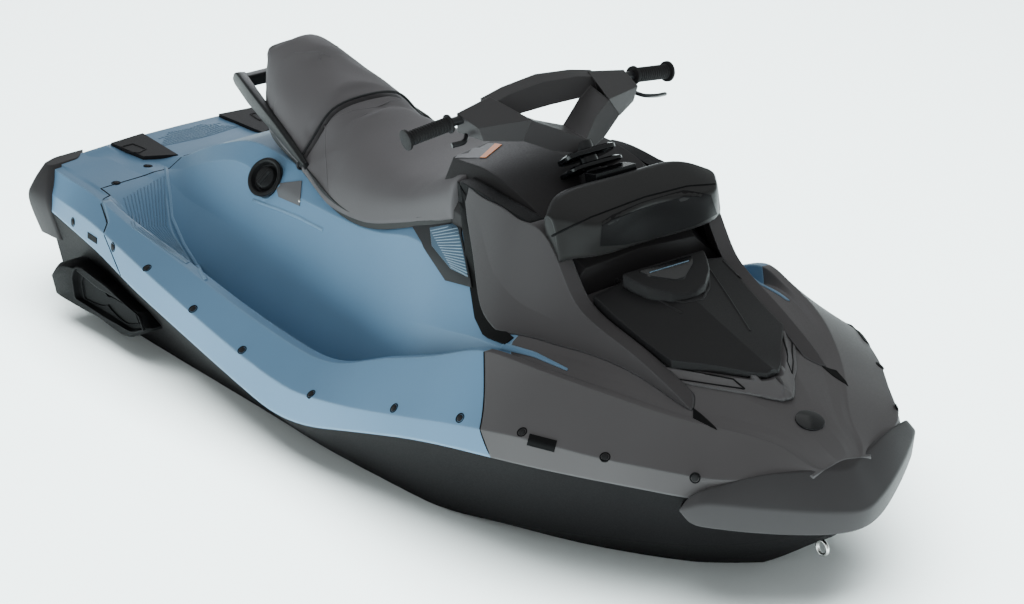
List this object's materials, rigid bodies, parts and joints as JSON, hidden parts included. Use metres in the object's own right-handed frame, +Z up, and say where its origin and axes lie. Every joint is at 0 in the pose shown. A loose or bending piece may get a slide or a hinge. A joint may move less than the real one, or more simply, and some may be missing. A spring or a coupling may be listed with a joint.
{
  "type": "personal watercraft",
  "caption": "Two-seat personal watercraft: stepped seat on a moulded deck and black hull, turning handlebars, hinged storage lid and a jet drive with steering nozzle and reverse gate.",
  "frame": {"origin": "on the centreline at the waterline, half way along the craft", "axes": "+X to the bow, +Y to port, +Z up"},
  "size_m": [2.79, 1.16, 1.1019],
  "materials": {
    "blue_moulding": "satin coloured plastic",
    "grey_moulding": "satin coloured plastic",
    "black_hull": "moulded plastic, fine grain",
    "black_moulding": "moulded plastic, satin",
    "seat_cover": "marine vinyl, fine grain",
    "rubber": "matt rubber",
    "dark_steel": "black painted steel",
    "bright_steel": "polished stainless steel",
    "cast_aluminium": "cast, sea-grey",
    "black_gloss": "gloss"
  },
  "bodies": {
    "craft": {"hull": "black_hull", "deck_rear": "blue_moulding", "deck_mid": "blue_moulding", "deck_front": "grey_moulding", "bow_bumper": "black_moulding", "stern_corner_port": "black_moulding", "stern_corner_starboard": "black_moulding", "sponson_port": "black_moulding", "sponson_starboard": "black_moulding", "traction_pads": "rubber", "tow_eye": "bright_steel", "bow_eye": "bright_steel", "fuel_cap": "black_moulding", "seat_base": "black_moulding", "seat_front": "seat_cover", "seat_rear": "seat_cover", "grab_handle": "black_moulding", "console": "black_moulding", "gauge": "black_gloss", "pod_lower": "black_moulding", "pod_upper": "black_moulding", "wing_port": "grey_moulding", "wing_starboard": "grey_moulding", "surround_port": "black_moulding", "surround_starboard": "black_moulding", "side_grille_port": "black_moulding", "side_grille_starboard": "black_moulding", "chin_frame": "grey_moulding", "engine_block": "cast_aluminium", "pump_housing": "cast_aluminium", "nozzle_brackets": "cast_aluminium", "ride_plate": "cast_aluminium", "intake_grate": "cast_aluminium"},
    "handlebars": {"steering_column": "dark_steel", "handlebar": "dark_steel", "bar_cover": "black_moulding", "grips": "rubber", "levers": "dark_steel"},
    "lid": {"storage_lid": "black_moulding", "lid_bezel": "black_gloss"},
    "impeller_shaft": {"impeller": "bright_steel"},
    "trim": {"trim_ring": "cast_aluminium"},
    "nozzle": {"steering_nozzle": "cast_aluminium"},
    "gate": {"reverse_gate": "black_moulding"}
  },
  "joints": [
    {"name": "steering", "type": "hinge", "parent": "craft", "child": "handlebars", "pos_m": [0.4369, 0, 0.7518], "axis": [-0.5736, 0, 0.8192], "range_deg": [-20, 20]},
    {"name": "lid_hinge", "type": "hinge", "parent": "craft", "child": "lid", "pos_m": [0.6562, 0, 0.565], "axis": [0, -1, 0], "range_deg": [0, 60]},
    {"name": "impeller_spin", "type": "hinge", "parent": "craft", "child": "impeller_shaft", "pos_m": [-0.975, 0, -0.025], "axis": [1, 0, 0], "continuous": true},
    {"name": "nozzle_trim", "type": "hinge", "parent": "craft", "child": "trim", "pos_m": [-1.245, 0, -0.025], "axis": [0, 1, 0], "range_deg": [-6, 10]},
    {"name": "nozzle_steer", "type": "hinge", "parent": "trim", "child": "nozzle", "pos_m": [-1.245, 0, -0.025], "axis": [0, 0, 1], "range_deg": [-20, 20]},
    {"name": "reverse_gate", "type": "hinge", "parent": "craft", "child": "gate", "pos_m": [-1.223, 0, -0.011], "axis": [0, -1, 0], "range_deg": [0, 75]}
  ],
  "couplings": [
    {"joint": "nozzle_steer", "follows": "steering", "ratio": -1}
  ]
}
